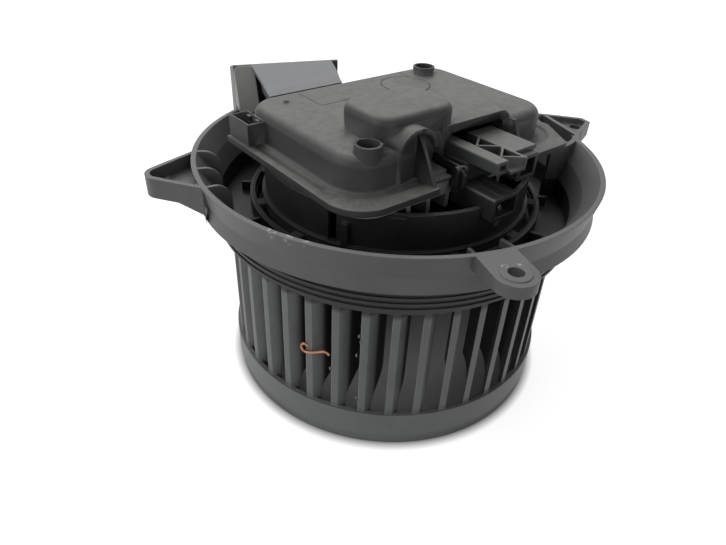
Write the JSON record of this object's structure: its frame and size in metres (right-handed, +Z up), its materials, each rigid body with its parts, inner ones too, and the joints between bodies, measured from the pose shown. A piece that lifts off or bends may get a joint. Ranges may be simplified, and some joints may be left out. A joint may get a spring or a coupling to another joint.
{
  "type": "cabin blower motor",
  "caption": "Vehicle cabin blower: centrifugal fan wheel under a moulded mounting dish with screw ears, motor and a covered control unit with connector on top.",
  "frame": {"origin": "on the motor axis, in the plane of the dish's seat where the spigot starts", "axes": "+Z up along the motor axis, away from the wheel; +X to the right screw ear; -Y to the front screw ear; the spigot leaves its housing hole upwards, so the hole leaves along -Z"},
  "size_m": [0.2109, 0.1932, 0.134],
  "materials": {
    "carrier_plastic": "matt moulded",
    "cover_plastic": "matt moulded",
    "duct_plastic": "satin moulded",
    "wheel_plastic": "matt moulded",
    "housing_plastic": "matt moulded",
    "connector_plastic": "matt moulded",
    "guide_plastic": "matt moulded",
    "isolator_rubber": "matt",
    "heat_sink_alloy": "as cast",
    "shaft_steel": "ground",
    "rotor_steel": "drawn",
    "core_steel": "laminated",
    "magnet_ferrite": "ground",
    "winding_copper": "enamelled",
    "clip_copper": "dull",
    "pin_tin": "plated",
    "board_laminate": "lacquered",
    "package_epoxy": "moulded",
    "can_aluminium": "sleeved",
    "screw_steel": "zinc plated"
  },
  "bodies": {
    "carrier": {"motor_carrier": "carrier_plastic", "duct_cover": "duct_plastic", "isolator_ring": "isolator_rubber", "motor_housing": "housing_plastic", "bearing_tube": "heat_sink_alloy", "lower_bearing": "shaft_steel", "upper_bearing": "shaft_steel", "stator_core": "core_steel", "stator_coils": "winding_copper", "heat_sink": "heat_sink_alloy", "circuit_board": "board_laminate", "power_switches": "package_epoxy", "capacitors": "can_aluminium", "choke_coil": "winding_copper", "phase_pins": "winding_copper", "terminal_pins": "pin_tin", "electronics_cover": "cover_plastic", "cover_screws": "screw_steel", "housing_screws": "screw_steel", "connector_header": "connector_plastic", "connector_guide": "guide_plastic"},
    "rotor": {"fan_wheel": "wheel_plastic", "balance_clip": "clip_copper", "motor_shaft": "shaft_steel", "shaft_circlip": "shaft_steel", "rotor_cup": "rotor_steel", "rotor_magnets": "magnet_ferrite"}
  },
  "joints": [
    {"name": "fan_spin", "type": "hinge", "parent": "carrier", "child": "rotor", "pos_m": [0, 0, 0], "axis": [0, 0, 1], "continuous": true}
  ]
}
